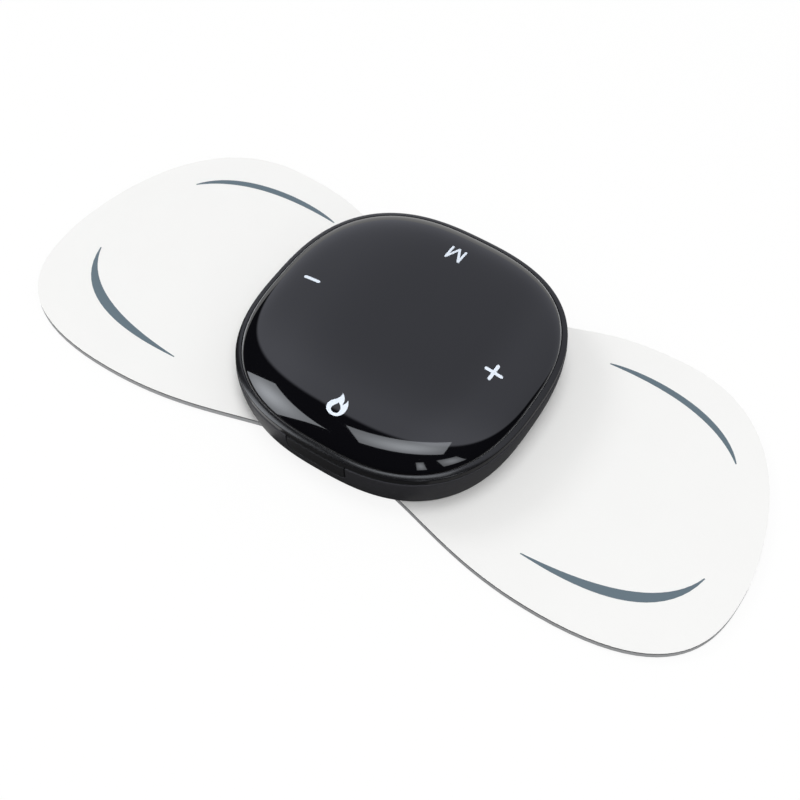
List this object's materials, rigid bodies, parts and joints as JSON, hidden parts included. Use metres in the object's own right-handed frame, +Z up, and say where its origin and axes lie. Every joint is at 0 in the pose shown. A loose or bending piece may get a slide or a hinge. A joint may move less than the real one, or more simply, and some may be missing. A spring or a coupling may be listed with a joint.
{
  "type": "stick-on tens unit",
  "caption": "Rounded-square stimulator host with a domed gloss touch panel, snapped on to a thin butterfly-shaped gel electrode pad.",
  "frame": {"origin": "on the standing surface under the centre of the pad's box", "axes": "+X along the pad towards the plus key, +Y towards the mode key, -Y towards the charging port, +Z up"},
  "size_m": [0.174, 0.07, 0.0185],
  "materials": {
    "release_film": "clear polyester film",
    "pad_foam": "matt white foam sheet with a fine nonwoven face",
    "hydrogel": "tacky translucent gel",
    "carbon_film": "matt conductive film",
    "nickel": "nickel plate",
    "black_abs": "fine spark-eroded texture",
    "black_rubber": "matt silicone",
    "gloss_panel": "high gloss",
    "adhesive": "foam tape",
    "solder_mask": "solder mask",
    "battery_pouch": "foil pouch",
    "polyimide": "amber film",
    "ferrite": "sintered ferrite",
    "epoxy": "moulded epoxy",
    "spring_steel": "drawn wire",
    "led": "phosphor lamp chip"
  },
  "bodies": {
    "liner": {"release_liner": "release_film"},
    "pad": {"pad_cover": "pad_foam", "carbon_film_left": "carbon_film", "carbon_film_right": "carbon_film", "gel_left": "hydrogel", "gel_right": "hydrogel", "snap_stud_left": "nickel", "snap_stud_right": "nickel", "stud_eyelet_left": "nickel", "stud_eyelet_right": "nickel"},
    "host": {"lower_housing": "black_abs", "upper_frame": "black_abs", "panel_gasket": "adhesive", "top_panel": "gloss_panel", "main_pcb": "solder_mask", "battery": "battery_pouch", "usb_shell": "nickel", "usb_tongue": "epoxy", "transformer": "ferrite", "boost_inductor": "ferrite", "mcu_chip": "epoxy", "output_driver": "epoxy", "heater_film": "polyimide", "snap_socket_left": "nickel", "snap_socket_right": "nickel", "touch_spring_plus": "spring_steel", "touch_spring_minus": "spring_steel", "touch_spring_mode": "spring_steel", "touch_spring_heat": "spring_steel", "key_led_plus": "led", "key_led_minus": "led", "key_led_mode": "led", "key_led_heat": "led", "screw_front_left": "nickel", "screw_front_right": "nickel", "screw_back_left": "nickel", "screw_back_right": "nickel"},
    "port_flap": {"port_cover": "black_rubber"}
  },
  "joints": [
    {"name": "pad_lift", "type": "slide", "parent": "liner", "child": "pad", "axis": [0, 0, 1], "range_m": [0, 0.03]},
    {"name": "host_lift", "type": "slide", "parent": "pad", "child": "host", "axis": [0, 0, 1], "range_m": [0, 0.03]},
    {"name": "port_cover_hinge", "type": "hinge", "parent": "host", "child": "port_flap", "pos_m": [-0.00705, -0.03297, 0.0084], "axis": [0, 0, -1], "range_deg": [0, 110]}
  ]
}
